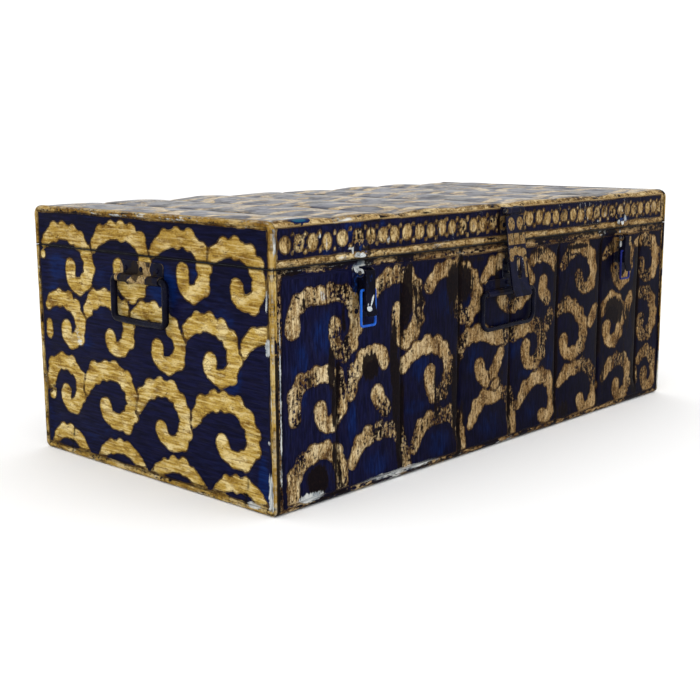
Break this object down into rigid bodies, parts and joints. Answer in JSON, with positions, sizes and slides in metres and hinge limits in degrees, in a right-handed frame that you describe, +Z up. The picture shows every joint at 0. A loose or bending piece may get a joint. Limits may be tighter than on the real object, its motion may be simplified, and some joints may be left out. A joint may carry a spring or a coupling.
{
  "type": "tin trunk",
  "caption": "Low rectangular painted tin trunk with a hinged lid, a hasp and staple, draw latches, and bail handles on the front and ends.",
  "frame": {"origin": "centre of the flat bottom, on the surface that the trunk stands on", "axes": "+Z up, +X along the length, front face with the hasp towards -Y"},
  "size_m": [0.624, 0.3526, 0.233],
  "materials": {
    "painted_tin_body": "navy paint with ochre scalloped scrolls and borders, worn and smeared",
    "painted_tin_lid": "navy paint with ochre scrolls on top and a band of ochre ovals on the front, worn and glossy",
    "plain_tin": "dark paint over tin plate, scuffed",
    "painted_steel": "glossy dark navy paint over steel, chipped at the edges",
    "blue_wire": "bright blue paint on wire",
    "worn_steel": "dull worn steel with traces of dark paint"
  },
  "bodies": {
    "trunk": {"body_back_sheet": "painted_tin_body", "body_bottom_pan": "plain_tin", "body_end_left": "painted_tin_body", "body_end_right": "painted_tin_body", "body_front_sheet": "painted_tin_body", "body_inner_rim": "plain_tin", "end_handle_left_clip": "painted_steel", "end_handle_left_rivets": "painted_steel", "end_handle_right_clip": "painted_steel", "end_handle_right_rivets": "painted_steel", "front_handle_clip": "painted_steel", "front_handle_rivets": "painted_steel", "hinge_body_rivets": "painted_steel", "hinge_left_body_leaf": "painted_steel", "hinge_left_pin": "worn_steel", "hinge_right_body_leaf": "painted_steel", "hinge_right_pin": "worn_steel", "latch_base_rivets": "painted_steel", "latch_left_base": "painted_steel", "latch_left_lever_pin": "worn_steel", "latch_right_base": "painted_steel", "latch_right_lever_pin": "worn_steel", "staple": "worn_steel", "staple_plate": "painted_steel"},
    "lid": {"hasp_leaf": "painted_steel", "hasp_pin": "worn_steel", "hasp_rivets": "painted_steel", "hinge_left_lid_leaf": "painted_steel", "hinge_lid_rivets": "painted_steel", "hinge_right_lid_leaf": "painted_steel", "latch_catch_rivets": "painted_steel", "latch_left_catch": "painted_steel", "latch_right_catch": "painted_steel", "lid_end_left": "painted_tin_lid", "lid_end_right": "painted_tin_lid", "lid_sheet": "painted_tin_lid"},
    "hasp": {"hasp_strap": "painted_steel"},
    "front_bail": {"front_handle_bail": "painted_steel"},
    "left_bail": {"end_handle_left_bail": "painted_steel"},
    "right_bail": {"end_handle_right_bail": "painted_steel"},
    "left_lever": {"latch_left_lever": "painted_steel"},
    "right_lever": {"latch_right_lever": "painted_steel"},
    "left_loop": {"latch_left_loop": "blue_wire"},
    "right_loop": {"latch_right_loop": "blue_wire"}
  },
  "joints": [
    {"name": "lid_hinge", "type": "hinge", "parent": "trunk", "child": "lid", "pos_m": [0, 0.1667, 0.197], "axis": [-1, 0, 0], "range_deg": [0, 180]},
    {"name": "hasp_hinge", "type": "hinge", "parent": "lid", "child": "hasp", "pos_m": [0.002, -0.168, 0.2265], "axis": [-1, 0, 0], "range_deg": [-7.5, 200]},
    {"name": "front_bail_swing", "type": "hinge", "parent": "trunk", "child": "front_bail", "pos_m": [0, -0.1657, 0.15], "axis": [-1, 0, 0], "range_deg": [0, 120]},
    {"name": "left_bail_swing", "type": "hinge", "parent": "trunk", "child": "left_bail", "pos_m": [-0.3082, 0, 0.177], "axis": [0, 1, 0], "range_deg": [0, 165]},
    {"name": "right_bail_swing", "type": "hinge", "parent": "trunk", "child": "right_bail", "pos_m": [0.3082, 0, 0.177], "axis": [0, -1, 0], "range_deg": [0, 165]},
    {"name": "left_lever_hinge", "type": "hinge", "parent": "trunk", "child": "left_lever", "pos_m": [-0.205, -0.1685, 0.187], "axis": [-1, 0, 0], "range_deg": [0, 80]},
    {"name": "left_loop_swing", "type": "hinge", "parent": "left_lever", "child": "left_loop", "pos_m": [-0.205, -0.171, 0.173], "axis": [-1, 0, 0], "range_deg": [0, 130]},
    {"name": "right_lever_hinge", "type": "hinge", "parent": "trunk", "child": "right_lever", "pos_m": [0.205, -0.1685, 0.187], "axis": [-1, 0, 0], "range_deg": [0, 80]},
    {"name": "right_loop_swing", "type": "hinge", "parent": "right_lever", "child": "right_loop", "pos_m": [0.205, -0.171, 0.173], "axis": [-1, 0, 0], "range_deg": [0, 130]}
  ]
}
